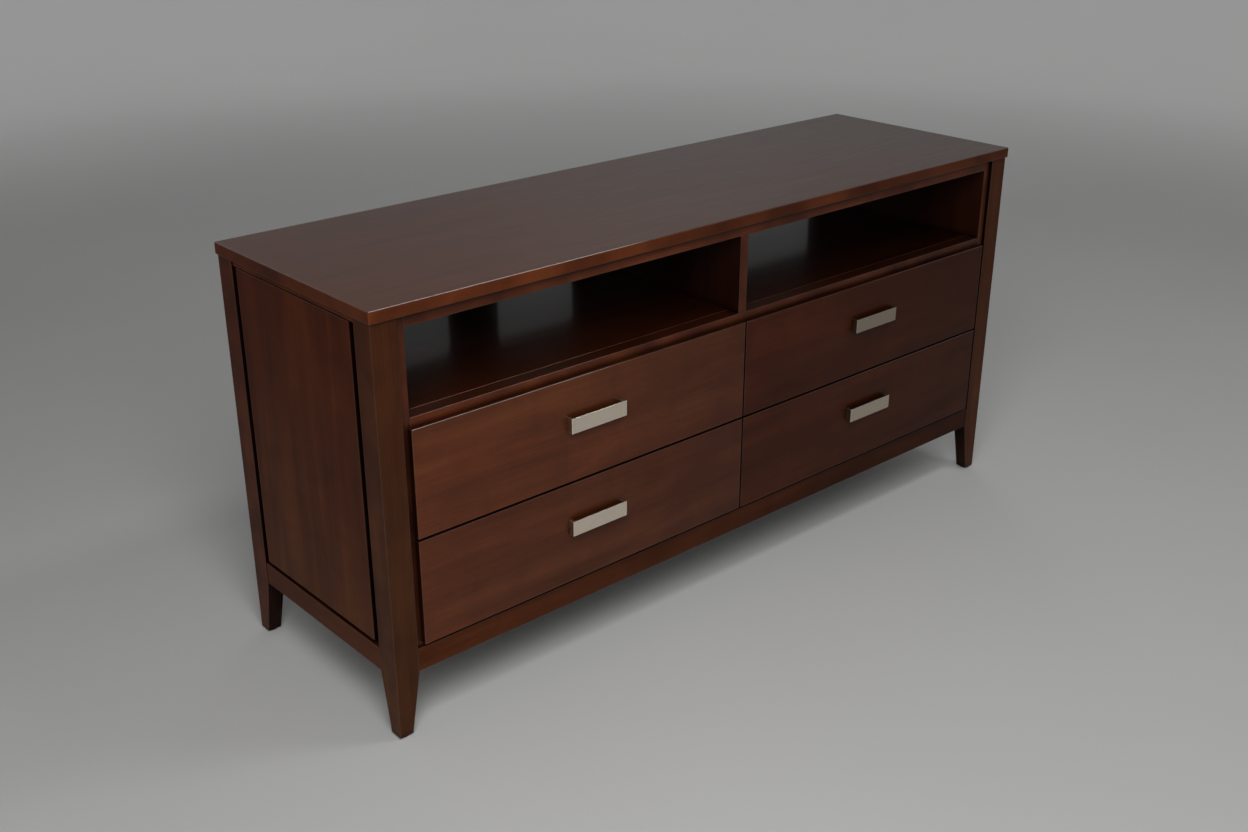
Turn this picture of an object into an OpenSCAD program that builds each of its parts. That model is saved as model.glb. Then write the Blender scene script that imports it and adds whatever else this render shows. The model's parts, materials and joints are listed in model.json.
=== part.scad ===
// Low dresser: two open compartments side by side above four drawers.
// Millimetres, +Z up, front faces -Y, origin at the bottom centre of the outer box.

/* [Overall] */
// Width of the top board
top_w = 1524; // [1300:1:1800]
// Depth of the top board, front to back
top_d = 457; // [430:1:520]
// Height of the top surface above the floor
height = 720; // [700:1:780]
// Thickness of the top board
top_t = 20; // [18:1:30]
// How far the top stands past the legs at each side
top_over_side = 2.5; // [1:0.5:8]
// How far the top stands past the legs at the front and the back
top_over_front = 3.5; // [2:0.5:8]

/* [Legs and rails] */
// Width of each outer face of a leg
leg_w = 44; // [38:1:60]
// Thickness of the two boards that make a leg, and the width that each tapers to at the foot
foot_w = 25; // [20:1:34]
// Height of the underside of the lower rails, where the taper starts
rail_z = 110; // [90:1:140]
// Height of the lower front and back rails
front_rail_h = 41; // [30:1:50]
// Height of the lower side rails
side_rail_h = 40; // [30:1:60]
// Thickness of the lower rails
rail_t = 20; // [16:1:28]
// How far the lower rails sit behind the faces of the legs
rail_inset = 1; // [0:0.5:4]
// Thickness of the glide under each foot
glide_t = 3; // [2:1:6]
// Diameter of each glide
glide_d = 20; // [14:1:20]

/* [Side panels] */
// Thickness of the raised field of a side panel
field_t = 14; // [8:1:18]
// Thickness of the thin plate behind the field
plate_t = 6; // [4:1:8]
// How far the field sits behind the outer faces of the legs
field_inset = 0.5; // [0:0.5:6]
// Width of the shadow groove between the field and each leg
side_groove = 12.5; // [4:0.5:16]
// Width of the shadow groove between the field and the lower rail
bottom_groove = 9; // [3:1:12]
// Thickness of the flat rail under the top at each side
side_top_rail_t = 10; // [8:1:20]

/* [Case] */
// How far the legs stand in front of the case
leg_proud = 6.5; // [2:0.5:12]
// Thickness of the inner case sides
case_side_t = 16; // [12:0.5:20]
// Thickness of the shelf board and its front nosing
shelf_t = 19; // [15:1:25]
// Depth of the solid nosing along the front of the shelf
nosing_d = 28; // [15:1:50]
// Thickness of the dividers on the centre line
divider_t = 19; // [15:1:25]
// Thickness of the bottom board
bottom_t = 16; // [12:1:20]
// Height of the front opening of the compartments
compartment_h = 140.5; // [120:0.5:150]
// Height of the rails under the top, front and back
top_rail_h = 20; // [15:1:30]
// Height of the rail between the upper and the lower drawer
middle_rail_h = 21; // [16:1:30]
// Thickness of the back panels
back_t = 6; // [4:1:9]
// How far the back panels sit inside the rear faces of the legs
back_inset = 11; // [6:1:20]

/* [Back cut-outs] */
// Width of the cut-out nearest the centre line, in each compartment
inner_cut_w = 187; // [120:1:200]
// Width of the outer cut-out in each compartment
outer_cut_w = 337; // [240:1:337]
// Height of the cut-outs
cut_h = 100; // [60:1:100]
// Height of the lower edge of the cut-outs above the shelf
cut_above_shelf = 20; // [10:1:24]
// Width of panel left beside the divider and the case side
cut_margin = 33; // [20:1:40]
// Corner radius of the cut-outs
cut_r = 12; // [4:1:25]

/* [Drawers] */
// How far the drawer faces stand in front of the legs
face_proud = 4.5; // [1:0.5:8]
// Thickness of the lip around each drawer front
lip_t = 10.5; // [8:0.5:10.5]
// Thickness of the part of the front that enters its opening
block_t = 8.5; // [6:0.5:12]
// How far the lips overlap the case sides
lip_over = 5; // [3:0.5:10]
// Gap between neighbouring drawer fronts, side to side
front_gap_x = 3; // [2:0.5:5]
// Gap between neighbouring drawer fronts, up and down
front_gap_z = 4; // [2:0.5:6]
// Gap between the lower front rail and the lower drawer fronts
front_gap_bottom = 6; // [4:1:8]
// Drop from the top of the shelf to the upper drawer fronts
front_drop_top = 15; // [12:1:17]
// Clearance between a front and its opening
opening_play = 1.5; // [1:0.5:3]
// Length of the drawer sides
box_l = 400; // [340:1:400]
// Height of the drawer sides
box_h = 140; // [100:1:145]
// Thickness of the drawer sides and backs
box_t = 12; // [9:1:16]
// Thickness of the drawer bottoms
box_bottom_t = 6; // [4:1:8]
// Height of a drawer bottom above the lower edge of its sides
box_bottom_up = 10; // [6:1:16]

/* [Pulls] */
// Length of each pull
pull_w = 118; // [80:1:160]
// Height of each pull
pull_h = 27; // [16:1:34]
// Distance from the drawer face to the front of the pull
pull_d = 13; // [11:0.5:20]
// Thickness of the flat bar of a pull
pull_bar_t = 3.5; // [2.5:0.5:5]
// Thickness of the two returns of a pull
pull_leg_t = 6; // [4:0.5:10]
// Height of the pulls above the middle of the drawer fronts
pull_up = 14; // [0:1:40]

/* [Slides] */
// Width of a slide, from the case to the drawer side
slide_w = 12.7; // [12.7]
// Height of the case member of a slide
slide_h = 45; // [45]
// Thickness of the sheet steel
sheet_t = 1.2; // [1:0.1:1.4]

/* [Hidden] */
wood = "#4a281c";
wood_dark = "#3a1f16";
wood_inside = "#2e1913";
birch = "#a98a66";
nickel = "#b8b0a4";
steel = "#9a9c9e";
nylon = "#2a2a2a";
curve_fn = 64;
eps = 1;

// Heights
z_top = height - top_t;
z_shelf = z_top - top_rail_h - compartment_h;
z_shelf_under = z_shelf - shelf_t;
z_rail_top = rail_z + front_rail_h;
z_floor_board = z_rail_top + bottom_t;
z_front_low = z_rail_top + front_gap_bottom;
z_front_high = z_shelf - front_drop_top;
front_h = (z_front_high - z_front_low - front_gap_z) / 2;
z_middle = (z_front_low + z_front_high) / 2;

// Half widths, measured from the centre line
x_leg_out = top_w / 2 - top_over_side;
x_leg_in = x_leg_out - leg_w;
x_open = x_leg_in - case_side_t;
x_field = x_leg_out - field_inset;
x_plate_in = x_field - field_t - plate_t;
x_div = divider_t / 2;
x_front_in = front_gap_x / 2;
x_front_out = x_open + lip_over;
x_front_mid = (x_front_in + x_front_out) / 2;

// Depths, from the front of the pulls to the back edge of the top
outer_d = top_d + face_proud + pull_d - top_over_front;
y_back = outer_d / 2;
y_top_front = y_back - top_d;
y_leg_front = y_top_front + top_over_front;
y_leg_back = y_back - top_over_front;
y_case = y_leg_front + leg_proud;
y_case_back = y_leg_back - back_inset - back_t;
y_face = y_leg_front - face_proud;
y_block = y_face + lip_t;
y_box = y_block + block_t;

// Each drawer: its name, its side (-1 left, 1 right) and its row (0 lower, 1 upper)
DRAWERS = [
    ["upper_left", -1, 1],
    ["upper_right", 1, 1],
    ["lower_left", -1, 0],
    ["lower_right", 1, 0]
];
SIDES = [["left", -1], ["right", 1]];
DRAWER_PIECES = ["front", "side_outer", "side_inner", "back", "bottom", "pull", "drawer_slides",
    "middle_slides"];
SIDE_PIECES = ["front_leg", "back_leg", "side_panel", "side_top_rail", "side_bottom_rail",
    "case_side", "middle_rail"];
CENTRE_PIECES = ["top_board", "front_top_rail", "back_top_rail", "front_bottom_rail",
    "back_bottom_rail", "shelf_nosing", "shelf_board", "bottom_board", "upper_divider",
    "lower_divider", "upper_back_panel", "lower_back_panel", "case_slides", "floor_glides"];

// Rows: the lower edge of the front, and the lower and upper edges of the opening
function front_z(row) = z_front_low + row * (front_h + front_gap_z);
function opening_low(row) = row == 0 ? z_floor_board : z_middle + middle_rail_h / 2;
function opening_high(row) = row == 0 ? z_middle - middle_rail_h / 2 : z_shelf_under;
function box_z(row) = opening_low(row) + 2 * opening_play;
function slide_z(row) = box_z(row) + box_h / 2;

// A box between two opposite corners
module block(low, high) {
    translate(low) cube(high - low);
}

// Shapes are drawn on the right and mirrored to the left
module on_side(s) {
    if (s < 0) mirror([1, 0, 0]) children();
    else children();
}

// A square-cornered board across the whole case, from one side to the other
module cross_board(half_w, y0, y1, z0, z1) {
    block([-half_w, y0, z0], [half_w, y1, z1]);
}

module rounded_rect(w, h, r) {
    square([w - 2 * r, h], center = true);
    square([w, h - 2 * r], center = true);
    for (sx = [-1, 1], sz = [-1, 1]) {
        translate([sx * (w / 2 - r), sz * (h / 2 - r)]) circle(r, $fn = curve_fn);
    }
}

// ---- Case ----

module top_board() {
    color(wood) cross_board(top_w / 2, y_top_front, y_back, z_top, height);
}

module front_top_rail() {
    color(wood) cross_board(x_open, y_case, y_case + rail_t, z_top - top_rail_h, z_top);
}

module back_top_rail() {
    color(wood_inside) cross_board(x_open, y_case_back - rail_t, y_case_back, z_top - top_rail_h, z_top);
}

module front_bottom_rail() {
    color(wood) cross_board(x_leg_in, y_leg_front + rail_inset, y_leg_front + rail_inset + rail_t,
        rail_z, z_rail_top);
}

module back_bottom_rail() {
    color(wood_dark) cross_board(x_leg_in, y_leg_back - rail_inset - rail_t, y_leg_back - rail_inset,
        rail_z, z_rail_top);
}

module shelf_nosing() {
    color(wood) cross_board(x_open, y_case, y_case + nosing_d, z_shelf_under, z_shelf);
}

module shelf_board() {
    color(wood_inside) cross_board(x_open, y_case + nosing_d, y_case_back, z_shelf_under, z_shelf);
}

module bottom_board() {
    color(wood_inside) cross_board(x_open, y_case, y_case_back, z_rail_top, z_floor_board);
}

// The divider reaches the top between the two upper rails
module upper_divider() {
    color(wood) {
        cross_board(x_div, y_case, y_case_back, z_shelf, z_top - top_rail_h);
        cross_board(x_div, y_case + rail_t, y_case_back - rail_t, z_top - top_rail_h, z_top);
    }
}

module lower_divider() {
    color(wood_inside) cross_board(x_div, y_case, y_case_back, z_floor_board, z_shelf_under);
}

module cut_out(x_mid, w) {
    translate([x_mid, y_case_back - eps, z_shelf + cut_above_shelf + cut_h / 2])
        rotate([-90, 0, 0]) linear_extrude(back_t + 2 * eps) rounded_rect(w, cut_h, cut_r);
}

module upper_back_panel() {
    color(wood_inside) difference() {
        cross_board(x_leg_in, y_case_back, y_case_back + back_t, z_shelf_under, z_top);
        for (s = [-1, 1]) {
            cut_out(s * (cut_margin + inner_cut_w / 2), inner_cut_w);
            cut_out(s * (x_open - cut_margin - outer_cut_w / 2), outer_cut_w);
        }
    }
}

module lower_back_panel() {
    color(wood_inside) cross_board(x_leg_in, y_case_back, y_case_back + back_t, z_rail_top, z_shelf_under);
}

module floor_glides() {
    color(nylon) for (sx = [-1, 1], y = [y_leg_front + foot_w / 2, y_leg_back - foot_w / 2]) {
        translate([sx * (x_leg_out - foot_w / 2), y, 0]) cylinder(h = glide_t, d = glide_d, $fn = curve_fn);
    }
}

// ---- Pieces that come in a left and a right ----

// Outline of each board of a leg: straight outer edge at 0, inner edge tapering in below the rails
module leg_outline() {
    polygon([[0, glide_t], [foot_w, glide_t], [leg_w, rail_z], [leg_w, z_top], [0, z_top]]);
}

// A leg is two boards glued in an L, which is solid only at the foot.
// It is drawn with its two outer faces on X = 0 and Y = 0.
module leg() {
    union() {
        translate([0, foot_w, 0]) rotate([90, 0, 0]) linear_extrude(foot_w) leg_outline();
        rotate([90, 0, 90]) linear_extrude(foot_w) leg_outline();
    }
}

module front_leg(s) {
    color(wood) on_side(s) translate([x_leg_out, y_leg_front, 0]) mirror([1, 0, 0]) leg();
}

module back_leg(s) {
    color(wood) on_side(s) translate([x_leg_out, y_leg_back, 0]) mirror([1, 0, 0]) mirror([0, 1, 0]) leg();
}

// Raised field on a thin plate that fills the frame of legs and rails
module side_panel(s) {
    y0 = y_leg_front + leg_w;
    y1 = y_leg_back - leg_w;
    z0 = rail_z + side_rail_h;
    z1 = z_top - side_top_rail_t;
    color(wood) on_side(s) {
        block([x_plate_in, y0, z0], [x_plate_in + plate_t, y1, z1]);
        block([x_plate_in + plate_t, y0 + side_groove, z0 + bottom_groove], [x_field, y1 - side_groove, z1]);
    }
}

module side_top_rail(s) {
    color(wood_dark) on_side(s) block(
        [x_leg_in, y_leg_front + leg_w, z_top - side_top_rail_t],
        [x_field - 2 * rail_inset, y_leg_back - leg_w, z_top]);
}

module side_bottom_rail(s) {
    color(wood) on_side(s) block(
        [x_leg_out - rail_inset - rail_t, y_leg_front + leg_w, rail_z],
        [x_leg_out - rail_inset, y_leg_back - leg_w, rail_z + side_rail_h]);
}

module case_side(s) {
    color(wood_dark) on_side(s) block([x_open, y_case, z_rail_top], [x_leg_in, y_case_back, z_top]);
}

module middle_rail(s) {
    color(wood_inside) on_side(s) block(
        [x_div, y_case, opening_high(0)],
        [x_open, y_case + rail_t, opening_low(1)]);
}

// ---- Slides: three nested channels on each side of a drawer ----

// Channel with its web at u and flanges that reach from u0 to u1
module channel(u, u0, u1, h) {
    translate([u, -h / 2]) square([sheet_t, h]);
    for (v = [-h / 2, h / 2 - sheet_t]) translate([u0, v]) square([u1 - u0, sheet_t]);
}

module case_member() {
    channel(0, 0, 9, slide_h);
}

module middle_member() {
    channel(5.5, 2.2, 10.2, slide_h - 7);
}

module drawer_member() {
    channel(slide_w - sheet_t, 7.6, slide_w, slide_h - 17);
}

// One member on each side of a drawer; u runs from the case towards the drawer
module slide_pair(s, row) {
    on_side(s) translate([0, y_box + box_l, slide_z(row)]) rotate([90, 0, 0]) {
        translate([x_div, 0]) linear_extrude(box_l) children();
        translate([x_open, 0]) mirror([1, 0, 0]) linear_extrude(box_l) children();
    }
}

module case_slides() {
    color(steel) for (drawer = DRAWERS) slide_pair(drawer[1], drawer[2]) case_member();
}

module middle_slides(s, row) {
    color(steel) slide_pair(s, row) middle_member();
}

module drawer_slides(s, row) {
    color(steel) slide_pair(s, row) drawer_member();
}

// ---- Drawers ----

// The lip covers the edges of the opening and the block behind it enters it
module front(s, row) {
    color(wood) on_side(s) {
        block([x_front_in, y_face, front_z(row)], [x_front_out, y_block, front_z(row) + front_h]);
        block(
            [x_div + opening_play, y_block, opening_low(row) + opening_play],
            [x_open - opening_play, y_box, opening_high(row) - opening_play]);
    }
}

module box_side(s, row, x0) {
    color(birch) on_side(s) block([x0, y_box, box_z(row)], [x0 + box_t, y_box + box_l, box_z(row) + box_h]);
}

module side_outer(s, row) {
    box_side(s, row, x_open - slide_w - box_t);
}

module side_inner(s, row) {
    box_side(s, row, x_div + slide_w);
}

module back(s, row) {
    color(birch) on_side(s) block(
        [x_div + slide_w + box_t, y_box + box_l - box_t, box_z(row) + box_bottom_up + box_bottom_t],
        [x_open - slide_w - box_t, y_box + box_l, box_z(row) + box_h]);
}

module bottom(s, row) {
    color(birch) on_side(s) block(
        [x_div + slide_w + box_t, y_box, box_z(row) + box_bottom_up],
        [x_open - slide_w - box_t, y_box + box_l, box_z(row) + box_bottom_up + box_bottom_t]);
}

// Flat bar bent back to the drawer face at both ends
module pull(s, row) {
    outline = [
        [-pull_w / 2, 0], [pull_w / 2, 0], [pull_w / 2, pull_d], [pull_w / 2 - pull_leg_t, pull_d],
        [pull_w / 2 - pull_leg_t, pull_bar_t], [pull_leg_t - pull_w / 2, pull_bar_t],
        [pull_leg_t - pull_w / 2, pull_d], [-pull_w / 2, pull_d]
    ];
    z_mid = front_z(row) + front_h / 2 + pull_up;
    color(nickel) translate([s * x_front_mid, y_face - pull_d, z_mid - pull_h / 2])
        linear_extrude(pull_h) polygon(outline);
}

// ---- Assembly ----

top_board();
front_top_rail();
back_top_rail();
front_bottom_rail();
back_bottom_rail();
shelf_nosing();
shelf_board();
bottom_board();
upper_divider();
lower_divider();
upper_back_panel();
lower_back_panel();
case_slides();
floor_glides();
for (side = SIDES) {
    name = side[0];
    s = side[1];
    front_leg(s);
    back_leg(s);
    side_panel(s);
    side_top_rail(s);
    side_bottom_rail(s);
    case_side(s);
    middle_rail(s);
}
for (drawer = DRAWERS) {
    name = drawer[0];
    s = drawer[1];
    row = drawer[2];
    front(s, row);
    side_outer(s, row);
    side_inner(s, row);
    back(s, row);
    bottom(s, row);
    pull(s, row);
    drawer_slides(s, row);
    middle_slides(s, row);
}
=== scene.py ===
"""The dresser's looks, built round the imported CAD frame. Metres, Z up, the front faces -Y."""

import json
import math
import random

import bmesh
import bpy
from mathutils import Matrix, Vector

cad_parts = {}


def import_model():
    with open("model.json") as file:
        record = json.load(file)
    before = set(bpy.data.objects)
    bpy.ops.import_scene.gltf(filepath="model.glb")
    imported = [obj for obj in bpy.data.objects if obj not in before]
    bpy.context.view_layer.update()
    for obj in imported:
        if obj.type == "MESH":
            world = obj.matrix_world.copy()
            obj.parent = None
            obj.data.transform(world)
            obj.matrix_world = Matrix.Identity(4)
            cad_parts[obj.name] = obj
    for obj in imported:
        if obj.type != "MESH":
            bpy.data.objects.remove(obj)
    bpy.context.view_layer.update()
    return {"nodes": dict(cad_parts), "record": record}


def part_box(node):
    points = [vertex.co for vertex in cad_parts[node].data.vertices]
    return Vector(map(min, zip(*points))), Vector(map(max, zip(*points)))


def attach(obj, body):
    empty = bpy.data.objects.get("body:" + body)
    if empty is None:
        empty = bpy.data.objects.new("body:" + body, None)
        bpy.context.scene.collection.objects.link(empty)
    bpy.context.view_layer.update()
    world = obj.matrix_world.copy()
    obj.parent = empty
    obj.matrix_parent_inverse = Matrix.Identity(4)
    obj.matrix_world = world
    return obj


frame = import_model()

MM = 0.001
NODES = frame["nodes"]
DRAWERS = ("upper_left", "upper_right", "lower_left", "lower_right")
X, Y, Z = (1, 0, 0), (0, 1, 0), (0, 0, 1)
dice = random.Random(7)


# ---- Materials ----


class Graph:
    """A material and short ways to add nodes to it. Inputs are values or the sockets that feed them."""

    def __init__(self, name):
        self.material = bpy.data.materials.new(name)
        self.material.use_nodes = True
        self.tree = self.material.node_tree
        self.tree.nodes.clear()

    def add(self, kind, inputs=(), **settings):
        node = self.tree.nodes.new("ShaderNode" + kind)
        for key, value in settings.items():
            setattr(node, key, value)
        for key, value in dict(inputs).items():
            if isinstance(value, bpy.types.NodeSocket):
                self.tree.links.new(value, node.inputs[key])
            else:
                node.inputs[key].default_value = value
        return node

    def math(self, operation, a, b=0.0):
        return self.add("Math", {0: a, 1: b}, operation=operation).outputs[0]

    def vector(self, operation, a, b):
        node = self.add("VectorMath", {0: a, 1: b}, operation=operation)
        return node.outputs["Value" if operation == "DOT_PRODUCT" else "Vector"]

    def split(self, vector):
        return self.add("SeparateXYZ", {"Vector": vector}).outputs

    def own_number(self, prop):
        """A number that the object wearing the material has as its own property."""
        return self.add("Attribute", attribute_type="OBJECT", attribute_name=prop).outputs["Fac"]

    def own_vector(self, prop):
        return self.add("Attribute", attribute_type="OBJECT", attribute_name=prop).outputs["Vector"]

    def own_colour(self, prop):
        return self.add("Attribute", attribute_type="OBJECT", attribute_name=prop).outputs["Color"]

    def noise(self, where, scale, detail=2.0, rough=0.5, distortion=0.0):
        inputs = {"Vector": where, "Scale": scale, "Detail": detail}
        inputs.update({"Roughness": rough, "Distortion": distortion})
        return self.add("TexNoise", inputs).outputs["Fac"]

    def bump(self, height, strength, distance):
        inputs = {"Height": height, "Strength": strength, "Distance": distance}
        return self.add("Bump", inputs).outputs["Normal"]

    def spread(self, value, low, high, to_low=0.0, to_high=1.0, way="LINEAR"):
        """Maps low..high of value to to_low..to_high, held at both ends."""
        inputs = {"Value": value, "From Min": low, "From Max": high, "To Min": to_low, "To Max": to_high}
        return self.add("MapRange", inputs, interpolation_type=way).outputs["Result"]

    def ramp(self, value, stops):
        node = self.add("ValToRGB", {"Fac": value})
        points = node.color_ramp.elements
        while len(points) < len(stops):
            points.new(0.5)
        for point, (place, colour) in zip(points, stops):
            point.position = place
            point.color = (*colour, 1.0)
        return node.outputs["Color"]

    def mix(self, share, a, b, blend="MIX"):
        node = self.add("Mix", data_type="RGBA", blend_type=blend)
        for key, value in ((0, share), (6, a), (7, b)):
            if isinstance(value, bpy.types.NodeSocket):
                self.tree.links.new(value, node.inputs[key])
            else:
                node.inputs[key].default_value = value if key == 0 else (*value, 1.0)
        return node.outputs[2]

    def times(self, a, b):
        """One colour multiplied by another."""
        return self.mix(1.0, a, b, "MULTIPLY")

    def finish(self, inputs):
        shader = self.add("BsdfPrincipled", inputs)
        out = self.tree.nodes.new("ShaderNodeOutputMaterial")
        self.tree.links.new(shader.outputs["BSDF"], out.inputs["Surface"])
        return self.material


def grey(k):
    return (k, k, k)


def scaled(colour, k):
    return tuple(c * k for c in colour)


# Noise in timber: how fast it changes along and across the grain for each metre, then its detail,
# roughness and distortion. The first four make up the tone, in these shares.
CLOUDS = (2.4, 10.0, 2.0, 0.5, 1.4)
STREAKS = (1.5, 30.0, 3.0, 0.5, 0.5)
CURL = (12.0, 6.5, 2.0, 0.5, 1.0)
FIBRES = (9.0, 380.0, 2.0, 0.55, 0.0)
TONE_SHARES = (0.34, 0.32, 0.16, 0.18)
WARMTH = (1.3, 7.0, 1.0, 0.5, 0.6)
PORES = (80.0, 1900.0, 1.0, 0.5, 0.0)
TONE_REACH = 0.17
COOL_TINT, WARM_TINT = (0.98, 1.01, 1.03), (1.03, 0.98, 0.94)
PORE_DARKNESS, PORE_DEPTH, FIBRE_HEIGHT = 0.35, 0.8, 0.4
GRAIN_BUMP, COAT_BUMP = (0.16, 0.2 * MM), (0.05, 2 * MM)

# Where each of these begins and is complete, in noise or in how far a face looks along an axis.
PITS, RUB_AND_HIGHLIGHT_SPAN, CHIPS = (0.64, 0.72), (0.50, 0.64), (0.765, 0.785)
BROAD_FACE, END_GRAIN, INNER_FACE = (0.55, 0.80), (0.75, 0.95), (0.3, 0.6)
FACE_UP, EDGE_UP = (0.3, 0.9), (0.15, 0.45)

# Noise that has no direction, in changes for each metre: the higher, the finer.
BLOTCH_SCALE, RUB_AND_HIGHLIGHT_SCALE, CHIP_SCALE, COAT_SCALE = 11.0, 26.0, 150.0, 14.0

BLOTCH_DARK, BLOTCH_LIGHT = (0.72, 0.62, 0.55), (1.36, 1.30, 1.15)
SOAKED_TINT = (0.68, 0.60, 0.52)
# How much lighter the edges' patches are: partly wear, partly a painted highlight.
RUB_AND_HIGHLIGHT_TINT = (1.5, 1.5, 1.6)
# Painted shade in corners and grooves from ambient occlusion: how far it looks, and how dark each step of
# occlusion makes the colour.
CORNER_SHADE_REACH = 15 * MM
CORNER_SHADE_STEPS = ((0.10, 0.97), (0.42, 0.88), (0.68, 0.50), (0.90, 0.0))
# Painted shade on the legs' inner faces: its colour, the height where it deepens and over how much, and how
# much of it shows below and above.
INNER_SHADE = grey(0.0012)
INNER_SHADE_FROM, INNER_SHADE_EDGE = 110 * MM, 2 * MM
INNER_SHADE_BELOW, INNER_SHADE_ABOVE = 0.8, 0.9
CHIP_SHARE = 0.8
SATIN = 0.42
COAT_ROUGHNESS, COAT_IOR, RUBBED_COAT_IOR = 0.13, 1.43, 1.6


def board_space(g, at):
    """Where a point is in its board: along the grain, across it and through it, in metres."""
    axes = (g.own_vector(prop) for prop in ("grain_along", "grain_across", "grain_through"))
    along, across, through = (g.vector("DOT_PRODUCT", at, axis) for axis in axes)
    place = g.add("CombineXYZ", {"X": along, "Y": across, "Z": through}).outputs["Vector"]
    return g.vector("ADD", place, g.own_vector("grain_shift"))


def grain_noise(g, place, along, across, detail, rough, distortion):
    return g.noise(g.vector("MULTIPLY", place, (along, across, across)), 1.0, detail, rough, distortion)


def timber_tone(g, place, fibre, tones, figure):
    layers = [grain_noise(g, place, *layer) for layer in (CLOUDS, STREAKS, CURL)] + [fibre]
    parts = [g.math("MULTIPLY", layer, share) for layer, share in zip(layers, TONE_SHARES)]
    tone = parts[0]
    for part in parts[1:]:
        tone = g.math("ADD", tone, part)
    reach = TONE_REACH / figure
    tone = g.spread(tone, 0.5 - reach, 0.5 + reach)
    colour = g.ramp(tone, ((0.0, tones[0]), (0.5, tones[1]), (1.0, tones[2])))
    warmth = grain_noise(g, place, *WARMTH)
    return g.times(colour, g.ramp(warmth, ((0.32, COOL_TINT), (0.68, WARM_TINT))))


def board_shade(g, colour, at, normal):
    """The board's given shade on its broad faces, a blotched one on its narrow faces, darker end grain, and
    the board's change of shade along its grain. These shades and their change are mostly painted light and
    painted shade, set for how the lamps lit each piece."""
    facing = g.vector("DOT_PRODUCT", normal, g.own_vector("grain_through"))
    broad_face = g.spread(g.math("ABSOLUTE", facing), *BROAD_FACE)
    blotch = g.ramp(g.noise(at, BLOTCH_SCALE), ((0.34, BLOTCH_DARK), (0.66, BLOTCH_LIGHT)))
    rim = g.times(blotch, g.own_colour("rim"))
    colour = g.times(colour, g.mix(broad_face, rim, g.own_colour("shade")))
    end_grain = g.vector("DOT_PRODUCT", normal, g.own_vector("grain_along"))
    soaked = g.times(colour, SOAKED_TINT)
    colour = g.mix(g.spread(g.math("ABSOLUTE", end_grain), *END_GRAIN), colour, soaked)
    run = g.vector("DOT_PRODUCT", at, g.own_vector("grain_along"))
    fade = g.vector("ADD", g.vector("MULTIPLY", g.own_vector("fade"), run), (1.0, 1.0, 1.0))
    return g.times(colour, fade)


# Lighter patches on eased edges: partly wear, partly a painted highlight on the arrises.
def rubbed_and_highlit(g, colour, at, share):
    rub_and_highlight = g.spread(g.noise(at, RUB_AND_HIGHLIGHT_SCALE, 3.0, 0.6), *RUB_AND_HIGHLIGHT_SPAN, 0.0, share)
    return g.mix(rub_and_highlight, colour, g.times(colour, RUB_AND_HIGHLIGHT_TINT))


def glazed(g, colour, glaze):
    """Painted shade in corners and grooves: the colour darkens where ambient occlusion finds them tight, as
    much as the board's own number for it says.
    """
    tight = g.add("AmbientOcclusion", {"Distance": CORNER_SHADE_REACH}, samples=6).outputs["AO"]
    dark = g.ramp(tight, [(place, grey(1 - depth * glaze)) for place, depth in CORNER_SHADE_STEPS])
    return g.mix(g.own_number("soil"), colour, g.times(colour, dark))


def painted_inner_shade(g, colour, at, normal):
    """Painted shade, nearly black, on faces that look the way the board's inward vector does, that is on
    the legs' inner faces; deeper above the taper.
    """
    inward = g.vector("DOT_PRODUCT", normal, g.own_vector("shade_facing"))
    depth = g.spread(g.split(at)["Z"], INNER_SHADE_FROM - INNER_SHADE_EDGE, INNER_SHADE_FROM, INNER_SHADE_BELOW, INNER_SHADE_ABOVE)
    return g.mix(g.math("MULTIPLY", g.spread(inward, *INNER_FACE), depth), colour, INNER_SHADE)


def chipped(g, colour, at, bare):
    return g.mix(g.spread(g.noise(at, CHIP_SCALE), *CHIPS, 0.0, CHIP_SHARE), colour, bare)


def wood(name, tones, coat, figure=1.0, pores=1.0, glaze=1.0, worn_and_highlit=0.0, under=0.06, top_coat=None):
    """Timber with a satin coat. tones is its dark, middle, light and bare colour, and figure scales the
    contrast of its grain.
    After pores come how strong the painted shade in its corners and grooves is, and the share of lighter
    patches on eased edges, which are partly wear and partly a painted highlight. under is the gloss below
    the coat, and top_coat is the coat on faces that look up."""
    g = Graph(name)
    coords = g.add("TexCoord").outputs
    at, normal = coords["Object"], coords["Normal"]
    place = board_space(g, at)
    fibre = grain_noise(g, place, *FIBRES)
    pit = g.spread(grain_noise(g, place, *PORES), *PITS)
    colour = timber_tone(g, place, fibre, tones, figure)
    colour = g.mix(g.math("MULTIPLY", pit, PORE_DARKNESS * pores), colour, scaled(tones[0], 0.3))
    colour = board_shade(g, colour, at, normal)
    if worn_and_highlit:
        colour = rubbed_and_highlit(g, colour, at, worn_and_highlit)
    colour = glazed(g, colour, glaze)
    colour = painted_inner_shade(g, colour, at, normal)
    if worn_and_highlit:
        colour = chipped(g, colour, at, tones[3])
    raised, sunk = g.math("MULTIPLY", fibre, FIBRE_HEIGHT), g.math("MULTIPLY", pit, PORE_DEPTH * pores)
    flow = g.noise(at, COAT_SCALE, 3.0)
    upward = g.split(normal)["Z"]
    if worn_and_highlit:
        coat = g.spread(upward, *EDGE_UP, coat, g.own_number("polish"))
    else:
        coat = g.spread(upward, *FACE_UP, coat, top_coat or coat)
    return g.finish({
        "Base Color": colour,
        "Roughness": g.spread(fibre, 0.2, 0.8, SATIN - 0.05, SATIN + 0.07),
        "Normal": g.bump(g.math("SUBTRACT", raised, sunk), *GRAIN_BUMP),
        "IOR": 1.5,
        "Specular IOR Level": under,
        "Coat Weight": coat,
        "Coat Roughness": COAT_ROUGHNESS,
        "Coat IOR": RUBBED_COAT_IOR if worn_and_highlit else COAT_IOR,
        "Coat Normal": g.bump(flow, *COAT_BUMP),
    })


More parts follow.
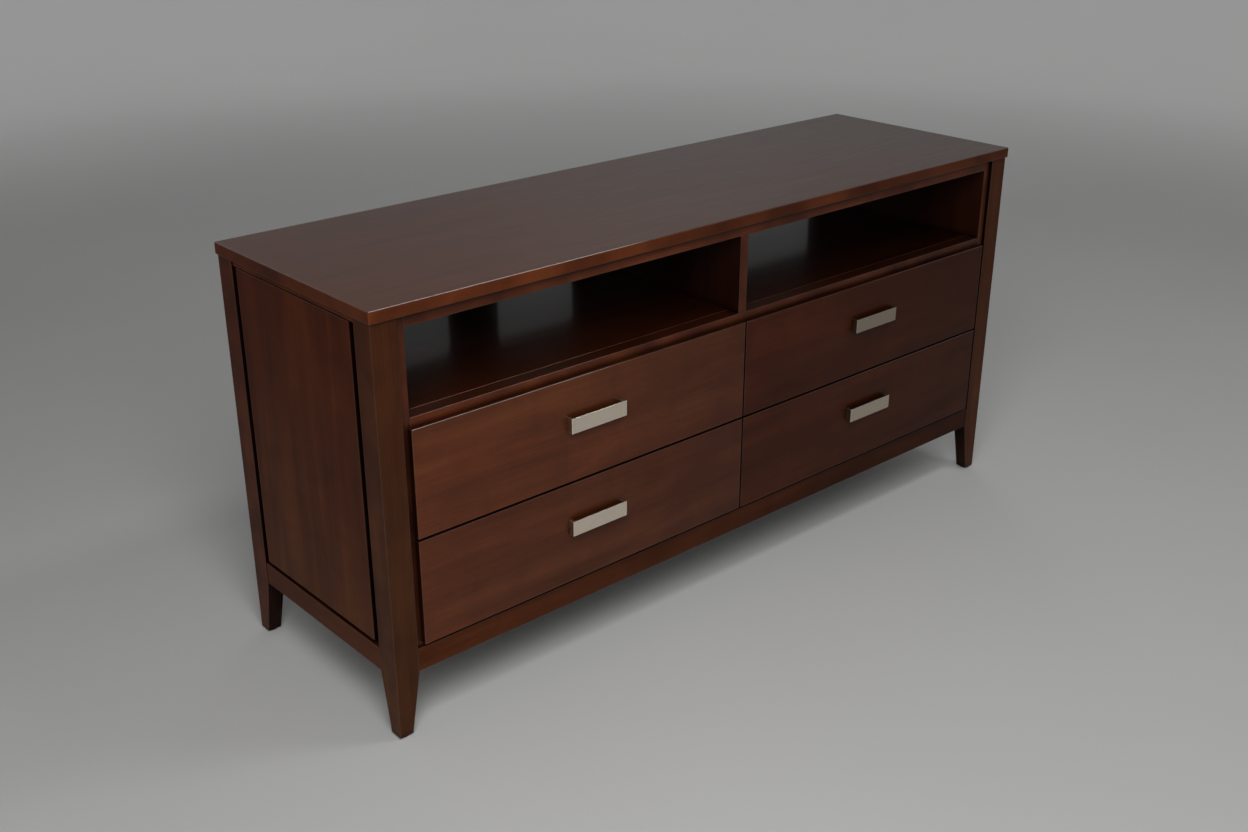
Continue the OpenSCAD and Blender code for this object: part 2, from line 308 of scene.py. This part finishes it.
def wood_pair(name, tones, coat, under=0.06, **more):
    """A board's faces and its eased edges, which have lighter patches, partly wear and partly a painted
    highlight, and are polished where they face up.
    """
    faces = wood(name, tones, coat, under=under, **more)
    return faces, wood(name + "_edge", tones, coat, worn_and_highlit=0.45, under=0.25, **more)


BRUSH_ALONG, BRUSH_ACROSS = 14.0, 2600.0


def brushed(name, colour, rough, along, scratch):
    """Metal with fine brushing along one axis of the object, times the object's shade: painted light that
    makes the left pulls lighter and the right pulls darker, for the light their metal reflects.
    """
    g = Graph(name)
    at = g.add("TexCoord").outputs["Object"]
    grain = tuple(BRUSH_ALONG if a else BRUSH_ACROSS for a in along)
    lines = g.noise(g.vector("MULTIPLY", at, grain), 1.0, 3.0, 0.65)
    cloud = g.noise(at, 55.0, 3.0, 0.6)
    tone = g.math("ADD", g.math("MULTIPLY", lines, 0.6), g.math("MULTIPLY", cloud, 0.4))
    face = g.ramp(tone, ((0.3, scaled(colour, 0.94)), (0.7, scaled(colour, 1.04))))
    return g.finish({
        "Base Color": g.times(face, g.own_colour("shade")),
        "Metallic": 1.0,
        "Roughness": g.spread(tone, 0.3, 0.7, rough - 0.03, rough + 0.04),
        "Normal": g.bump(lines, scratch, 0.05 * MM),
    })


def plastic(name, colour, rough):
    g = Graph(name)
    at = g.add("TexCoord").outputs["Object"]
    skin = g.noise(at, 900.0, 3.0, 0.6)
    return g.finish({
        "Base Color": g.ramp(g.noise(at, 40.0), ((0.3, scaled(colour, 0.8)), (0.7, scaled(colour, 1.2)))),
        "Roughness": g.spread(skin, 0.3, 0.7, rough - 0.06, rough + 0.06),
        "Normal": g.bump(skin, 0.2, 0.1 * MM),
    })


# The dark, middle, light and bare colour of each kind of timber.
ESPRESSO = ((0.043, 0.0098, 0.0032), (0.074, 0.0184, 0.0059), (0.118, 0.0318, 0.0099), (0.30, 0.17, 0.09))
INSIDE = ((0.012, 0.0050, 0.0030), (0.019, 0.0080, 0.0045), (0.030, 0.0125, 0.0070), (0.10, 0.06, 0.035))
CLEAR = ((0.38, 0.235, 0.120), (0.52, 0.355, 0.200), (0.62, 0.450, 0.275), (0.70, 0.55, 0.36))
NICKEL, NICKEL_EDGE = (0.74, 0.65, 0.53), (0.84, 0.79, 0.71)
ZINC = (0.56, 0.57, 0.59)
BLACK_NYLON = (0.02, 0.02, 0.021)

# Each look is the material of a piece's faces and that of its eased edges.
LOOKS = {
    "espresso_wood": wood_pair("espresso_wood", ESPRESSO, coat=0.34, figure=0.85),
    # A duller copy of espresso_wood for the right drawer fronts, so that they reflect less light: painted
    # shade.
    "espresso_shade": wood_pair("espresso_shade", ESPRESSO, coat=0.22, under=0.04, figure=0.85),
    "espresso_shelf": wood_pair("espresso_shelf", ESPRESSO, coat=0.28, under=0.02),
    "espresso_top": wood_pair("espresso_top", ESPRESSO, coat=0.08, figure=0.42, top_coat=0.35),
    "espresso_side": wood_pair("espresso_side", ESPRESSO, coat=0.09, under=0.03),
    "espresso_leg": wood_pair("espresso_leg", ESPRESSO, coat=0.13, under=0.04),
    "inside_wood": wood_pair("inside_wood", INSIDE, coat=0.10),
    "drawer_wood": wood_pair("drawer_wood", CLEAR, coat=0.20, pores=0.5, glaze=0.35),
    "satin_nickel": (brushed("satin_nickel", NICKEL, 0.24, X, 0.03),
                     brushed("satin_nickel_edge", NICKEL_EDGE, 0.26, X, 0.1)),
    "zinc_steel": (brushed("zinc_steel", ZINC, 0.30, Y, 0.3),) * 2,
    "nylon": (plastic("nylon", BLACK_NYLON, 0.5),) * 2,
}


# ---- CAD nodes: materials, grain direction and eased edges ----

SLOT_OF = {row["node"]: row["material_slot"] for row in frame["record"]["subparts"]}

# Nodes whose look is not simply their slot's, by the end of their name.
LOOK_OF = {
    "leg": "espresso_leg",
    "shelf_board": "espresso_shelf",
    "right_front": "espresso_shade",
    "top_board": "espresso_top",
    "side_panel": "espresso_side",
    "bottom_rail": "espresso_side",
    "side_top_rail": "espresso_side",
}
UPRIGHT_GRAIN = ("side_panel", "case_side", "divider", "back_panel")

# How wide the eased edges are, in millimetres, by a part of the node's name. The first match counts.
EASE = {
    "top_board": 1.5, "front": 1.3, "leg": 1.0, "shelf_nosing": 1.1, "side_panel": 1.0, "rail": 0.9,
    "case_side": 0.8, "divider": 0.8, "pull": 0.8, "slides": 0.15, "glides": 0.6,
}
EASE_OTHER = 0.5
EASE_STEPS = 3
EASE_FROM_ANGLE = math.radians(30)

# How light a board's broad faces and its narrow faces (its rim) are next to its material, how fast that
# changes for each metre along its grain, and how strong the painted shade in its corners is. Most of these
# are painted light and shade, set for how the lamps lit
# each piece: the top, the bottom rail, the shelf and the drawer fronts darker to the right; the inside of
# the compartments and the rims of the drawer fronts and of the side panels dark with painted shade; the
# side rail under the top lighter, against the shade of the top's overhang; the shelf board's front edge
# lighter as a painted highlight; the legs and side panels darker towards the top and greyer low down; and
# the pulls lighter or darker for the light that their metal reflects. Its green differs from its red by the
# share lean, or fade_lean in the change, and its blue by half as much again. The first match with the end
# of the name counts.
SHADES = {
    "top_board": {"faces": 0.77, "rim": 1.12, "fade": -0.40, "soil": 0.7, "lean": 0.06},
    "front_top_rail": {"faces": 1.15, "rim": 1.15, "soil": 0.85},
    "side_top_rail": {"faces": 1.25, "rim": 1.25, "soil": 0.0},
    "front_bottom_rail": {"faces": 0.74, "rim": 0.74, "fade": -0.65, "lean": 0.08},
    "side_bottom_rail": {"faces": 0.96, "rim": 0.96, "lean": 0.12},
    "shelf_nosing": {"faces": 0.32, "rim": 1.05, "fade": -0.65},
    "shelf_board": {"faces": 0.25, "rim": 1.8, "fade": -0.6, "soil": 0.0, "lean": -0.1},
    "upper_divider": {"faces": 0.20, "rim": 0.85},
    "case_side": {"faces": 0.28, "rim": 0.8},
    "upper_left_front": {"faces": 0.88, "rim": 0.3, "fade": -0.85, "soil": 0.7, "lean": 0.05},
    "lower_left_front": {"faces": 0.84, "rim": 0.3, "fade": -0.80, "soil": 0.7, "lean": 0.05},
    "upper_right_front": {"faces": 0.70, "rim": 0.3, "fade": -0.40, "soil": 0.7, "lean": -0.10},
    "lower_right_front": {"faces": 0.76, "rim": 0.3, "fade": -0.40, "soil": 0.7, "lean": -0.06},
    "right_front_leg": {"faces": 0.84, "rim": 0.84, "fade": -0.2, "soil": 1.0, "lean": 0.30,
                        "fade_lean": 0.6},
    "back_leg": {"faces": 1.06, "rim": 1.06, "fade": -0.3, "soil": 1.0, "lean": 0.12, "fade_lean": 0.6},
    "leg": {"faces": 0.84, "rim": 0.84, "fade": -0.3, "soil": 1.0, "lean": 0.35, "fade_lean": 0.6},
    "side_panel": {"faces": 1.42, "rim": 0.2, "fade": -0.55, "soil": 1.0, "lean": 0.30, "fade_lean": 0.6},
    "left_pull": {"faces": 1.10, "rim": 1.10},
    "upper_right_pull": {"faces": 0.56, "rim": 0.56, "lean": -0.05},
    "lower_right_pull": {"faces": 0.74, "rim": 0.74, "lean": -0.03},
}
PLAIN_SHADE = {"faces": 1.0, "rim": 1.0, "fade": 0.0, "soil": 0.8, "lean": 0.0, "fade_lean": 0.0}

# How strong the coat is on eased edges that face up, on the boards that are polished and on the others.
POLISHED = ("top_board", "_front")
POLISH, DULL = 1.0, 0.25


def found(table, node, other, fits=str.endswith):
    """The entry of the first key of the table that fits the node's name."""
    return next((entry for key, entry in table.items() if fits(node, key)), other)


def grain_of(node):
    """The axis that a board's grain runs along, and the axis through its thickness."""
    low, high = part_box(node)
    size = high - low
    thin, _, long = sorted(range(3), key=lambda i: size[i])
    axes = (X, Y, Z)
    upright = any(part in node for part in UPRIGHT_GRAIN)
    return Z if upright else axes[long], axes[thin]


def inward_of(node):
    """Where a leg's inner faces look, which get painted shade, nearly black. Other boards have none."""
    if not node.endswith("leg"):
        return [0.0, 0.0, 0.0]
    return [1.0 if "left" in node else -1.0, 1.0 if "front" in node else -1.0, 0.0]


def leaning(shade, lean):
    return [shade, shade * (1 + lean), shade * (1 + 1.5 * lean)]


def set_grain(piece, node):
    along, through = grain_of(node)
    piece["grain_along"] = [float(a) for a in along]
    piece["grain_through"] = [float(a) for a in through]
    piece["grain_across"] = [float(a) for a in Vector(through).cross(Vector(along))]
    piece["grain_shift"] = [dice.uniform(-4, 4) for _ in range(3)]
    piece["grain_shift"][2] = 0.0


# Each piece's shades, mostly painted light and shade, its painted shade in corners and on inner faces, and
# its polish.
def set_shade(piece, node):
    shade = {**PLAIN_SHADE, **found(SHADES, node, {})}
    piece["shade"] = leaning(shade["faces"], shade["lean"])
    piece["rim"] = leaning(shade["rim"], shade["lean"])
    piece["fade"] = leaning(shade["fade"], shade["fade_lean"])
    piece["soil"] = shade["soil"]
    piece["polish"] = POLISH if node.endswith(POLISHED) else DULL
    piece["shade_facing"] = inward_of(node)


def ease_edges(piece, node):
    weld = piece.modifiers.new("weld", "WELD")
    weld.merge_threshold = 0.01 * MM
    bevel = piece.modifiers.new("eased_edges", "BEVEL")
    bevel.width = found(EASE, node, EASE_OTHER, str.__contains__) * MM
    bevel.segments = EASE_STEPS
    bevel.limit_method = "ANGLE"
    bevel.angle_limit = EASE_FROM_ANGLE
    bevel.material = 1
    bevel.loop_slide = False


for name, piece in NODES.items():
    set_grain(piece, name)
    set_shade(piece, name)
    piece.data.materials.clear()
    for look in LOOKS[found(LOOK_OF, name, SLOT_OF[name])]:
        piece.data.materials.append(look)
    ease_edges(piece, name)


# ---- Fixings: pan-head screws that hold the pulls, the slides and the back panels ----

PULL_SCREW = {"radius": 3.6 * MM, "height": 2.2 * MM, "washer": 5.2 * MM}
SLIDE_SCREW = {"radius": 3.4 * MM, "height": 1.0 * MM}
BACK_SCREW = {"radius": 3.2 * MM, "height": 1.5 * MM}
PULL_SCREW_SPACING = 96 * MM
SLIDE_SCREWS_FROM_FRONT = (16 * MM, 140 * MM, 330 * MM)
SLIDE_DEPTH, SLIDE_SHEET = 5.1 * MM, 1.2 * MM
BACK_SCREW_INSET = 8 * MM
BACK_SCREW_COLUMNS = 5

ROUND = 28
SUNK = 0.2 * MM
WASHER_T, WASHER_CHAMFER = 0.9 * MM, 0.3 * MM
# The side of a screw's head, as shares of its radius and of its height.
HEAD = ((1.0, 0.45), (0.93, 0.70), (0.78, 0.90), (0.60, 1.0))
# Half the length and half the width of the cross recess, as shares of the radius, and its depth.
RECESS_MOUTH, RECESS_FLOOR, RECESS_DEPTH = (0.42, 0.12), (0.33, 0.09), 0.6


def cross_outline(arm, half):
    corners = []
    for turns in range(4):
        for x, y in ((arm, -half), (arm, half), (half, half)):
            for _ in range(turns):
                x, y = -y, x
            corners.append((x, y))
    return corners


def head_profile(radius, height, washer):
    """Radius and height of each ring of a head, from the bottom up."""
    lift = WASHER_T if washer else 0.0
    if washer:
        foot = [(washer, -SUNK), (washer, 0.7 * lift), (washer - WASHER_CHAMFER, lift)]
    else:
        foot = [(radius, -SUNK)]
    return foot + [(radius, lift)] + [(r * radius, lift + z * height) for r, z in HEAD]


def screw(bm, at, facing, radius, height, washer=0.0):
    """A pan head with a cross recess, and under it a washer if that has a radius. It stands on `at`."""
    place = Matrix.Translation(at) @ Vector(facing).to_track_quat("Z", "Y").to_matrix().to_4x4()

    def loop(points):
        return [bm.verts.new(place @ Vector(point)) for point in points]

    rings = []
    for r, z in head_profile(radius, height, washer):
        angles = (math.tau * i / ROUND for i in range(ROUND))
        rings.append(loop([(r * math.cos(a), r * math.sin(a), z) for a in angles]))
    bm.faces.new(reversed(rings[0]))
    for lower, upper in zip(rings, rings[1:]):
        for i in range(ROUND):
            j = (i + 1) % ROUND
            face = bm.faces.new((lower[i], lower[j], upper[j], upper[i]))
            face.smooth = True
    top = (WASHER_T if washer else 0.0) + height
    bottom = top - RECESS_DEPTH * height
    mouth = loop([(x * radius, y * radius, top) for x, y in cross_outline(*RECESS_MOUTH)])
    floor = loop([(x * radius, y * radius, bottom) for x, y in cross_outline(*RECESS_FLOOR)])
    count = len(mouth)
    for i in range(count):
        j = (i + 1) % count
        bm.faces.new((mouth[j], mouth[i], floor[i], floor[j]))
    bm.faces.new(floor)
    rim = [bm.edges.get((rings[-1][i], rings[-1][(i + 1) % ROUND])) for i in range(ROUND)]
    inner = [bm.edges.get((mouth[i], mouth[(i + 1) % count])) for i in range(count)]
    bmesh.ops.triangle_fill(bm, edges=rim + inner, use_beauty=True, normal=place.to_3x3() @ Vector(Z))


def screws(name, body, rows):
    """One piece that holds the screws of all rows. A row is a place, a direction and a kind of screw."""
    bm = bmesh.new()
    for at, facing, kind in rows:
        screw(bm, at, facing, **kind)
    bmesh.ops.recalc_face_normals(bm, faces=bm.faces)
    mesh = bpy.data.meshes.new(name)
    bm.to_mesh(mesh)
    bm.free()
    piece = bpy.data.objects.new(name, mesh)
    bpy.context.scene.collection.objects.link(piece)
    piece.data.materials.append(LOOKS["zinc_steel"][0])
    piece["shade"] = [1.0, 1.0, 1.0]
    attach(piece, body)


def drawer_screws(drawer):
    """Two that hold the pull, seen inside the drawer, and three in each of its slides."""
    low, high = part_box(drawer + "_pull")
    middle = (low + high) / 2
    inner_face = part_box(drawer + "_front")[1].y
    rows = []
    for side in (-1, 1):
        at = (middle.x + side * PULL_SCREW_SPACING / 2, inner_face, middle.z)
        rows.append((at, Y, PULL_SCREW))
    low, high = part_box(drawer + "_drawer_slides")
    for x, away in ((low.x, -1), (high.x, 1)):
        for back in SLIDE_SCREWS_FROM_FRONT:
            at = (x - away * (SLIDE_DEPTH - SLIDE_SHEET), low.y + back, (low.z + high.z) / 2)
            rows.append((at, (away, 0, 0), SLIDE_SCREW))
    screws(drawer + "_screws", drawer + "_drawer", rows)


def back_screws():
    """Round the edges of both back panels, and down the divider behind them."""
    rows = []
    for node, lines in (("upper_back_panel", 2), ("lower_back_panel", 3)):
        low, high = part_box(node)
        width = high.x - low.x - 2 * BACK_SCREW_INSET
        height = high.z - low.z - 2 * BACK_SCREW_INSET
        for i in range(BACK_SCREW_COLUMNS):
            for k in range(lines):
                if 0 < k < lines - 1 and i % 2:
                    continue
                x = low.x + BACK_SCREW_INSET + width * i / (BACK_SCREW_COLUMNS - 1)
                z = low.z + BACK_SCREW_INSET + height * k / (lines - 1)
                rows.append(((x, high.y, z), Y, BACK_SCREW))
    screws("back_panel_screws", "case", rows)


for drawer in DRAWERS:
    drawer_screws(drawer)
back_screws()


# ---- Stage: pale floor that sweeps up all round, soft lights, camera ----

FLOOR_R, SWEEP_R, WALL_Z = 5.2, 2.4, 5.5
SWEEP_STEPS, ROUND_STEPS = 24, 96
PAPER_DARK, PAPER_LIGHT = (0.64, 0.64, 0.635), (0.68, 0.68, 0.675)
FLOOR_GLOW, FLOOR_GLOW_FROM, FLOOR_GLOW_TO = 0.15, 2.2, 6.6
WALL_GLOW, WALL_GLOW_FROM, WALL_GLOW_TO = 0.24, 0.2, 2.6
WHITE = (1.0, 1.0, 1.0, 1.0)
SKY_STRENGTH = 0.03

CAMERA_AT = (-1.7196, -1.8306, 1.3654)
CAMERA_DOWN, CAMERA_TURN = 23.55, 41.65
CAMERA_LENS = 40.62


def bowl_mesh():
    profile = [(0.0, 0.0), (FLOOR_R / 2, 0.0)]
    for i in range(SWEEP_STEPS + 1):
        a = math.pi / 2 * i / SWEEP_STEPS
        profile.append((FLOOR_R + SWEEP_R * math.sin(a), SWEEP_R * (1 - math.cos(a))))
    profile.append((FLOOR_R + SWEEP_R, WALL_Z))
    bm = bmesh.new()
    verts = [bm.verts.new((r, 0, z)) for r, z in profile]
    edges = [bm.edges.new(pair) for pair in zip(verts, verts[1:])]
    bmesh.ops.spin(bm, geom=verts + edges, axis=Z, cent=(0, 0, 0), angle=math.tau, steps=ROUND_STEPS,
                   use_merge=True)
    bmesh.ops.remove_doubles(bm, verts=bm.verts, dist=0.1 * MM)
    mesh = bpy.data.meshes.new("backdrop")
    bm.to_mesh(mesh)
    bm.free()
    mesh.shade_smooth()
    return mesh


def paper():
    """Pale paper that glows a little, more towards the walls."""
    g = Graph("backdrop_paper")
    at = g.add("TexCoord").outputs["Object"]
    colour = g.ramp(g.noise(at, 0.7, 3.0), ((0.3, PAPER_DARK), (0.7, PAPER_LIGHT)))
    x, y, z = g.split(at)
    radius = g.math("SQRT", g.math("ADD", g.math("MULTIPLY", x, x), g.math("MULTIPLY", y, y)))
    far = g.spread(radius, FLOOR_GLOW_FROM, FLOOR_GLOW_TO, 0.0, FLOOR_GLOW, "SMOOTHERSTEP")
    high = g.spread(z, WALL_GLOW_FROM, WALL_GLOW_TO, 0.0, WALL_GLOW - FLOOR_GLOW, "SMOOTHSTEP")
    return g.finish({
        "Base Color": colour,
        "Roughness": 0.6,
        "Specular IOR Level": 0.25,
        "Emission Color": WHITE,
        "Emission Strength": g.math("ADD", far, high),
    })


def backdrop():
    piece = bpy.data.objects.new("backdrop", bowl_mesh())
    bpy.context.scene.collection.objects.link(piece)
    piece.data.materials.append(paper())


def softbox(name, at, aim, size, watts):
    light = bpy.data.lights.new(name, "AREA")
    light.shape = "RECTANGLE"
    light.size, light.size_y = size
    light.energy = watts
    piece = bpy.data.objects.new(name, light)
    piece.location = at
    piece.rotation_euler = (Vector(aim) - Vector(at)).to_track_quat("-Z", "Y").to_euler()
    piece.visible_camera = False
    bpy.context.scene.collection.objects.link(piece)


def camera():
    lens = bpy.data.cameras.new("camera")
    lens.lens = CAMERA_LENS
    piece = bpy.data.objects.new("camera", lens)
    piece.location = CAMERA_AT
    piece.rotation_euler = (math.radians(90 - CAMERA_DOWN), 0, math.radians(-CAMERA_TURN))
    bpy.context.scene.collection.objects.link(piece)
    bpy.context.scene.camera = piece


def world():
    sky = bpy.data.worlds.new("studio")
    sky.use_nodes = True
    background = sky.node_tree.nodes["Background"]
    background.inputs["Color"].default_value = WHITE
    background.inputs["Strength"].default_value = SKY_STRENGTH
    bpy.context.scene.world = sky


backdrop()
softbox("key", at=(-1.4, -1.5, 2.0), aim=(0, 0, 0.35), size=(1.2, 1.2), watts=30)
softbox("back_right", at=(2.5, 2.6, 3.0), aim=(0, 0, 0.35), size=(1.2, 1.2), watts=6)
softbox("overhead", at=(0.95, -1.2, 2.8), aim=(0.95, -0.8, 0.7), size=(1.3, 0.4), watts=12)
world()
camera()
bpy.context.scene.view_settings.view_transform = "Standard"
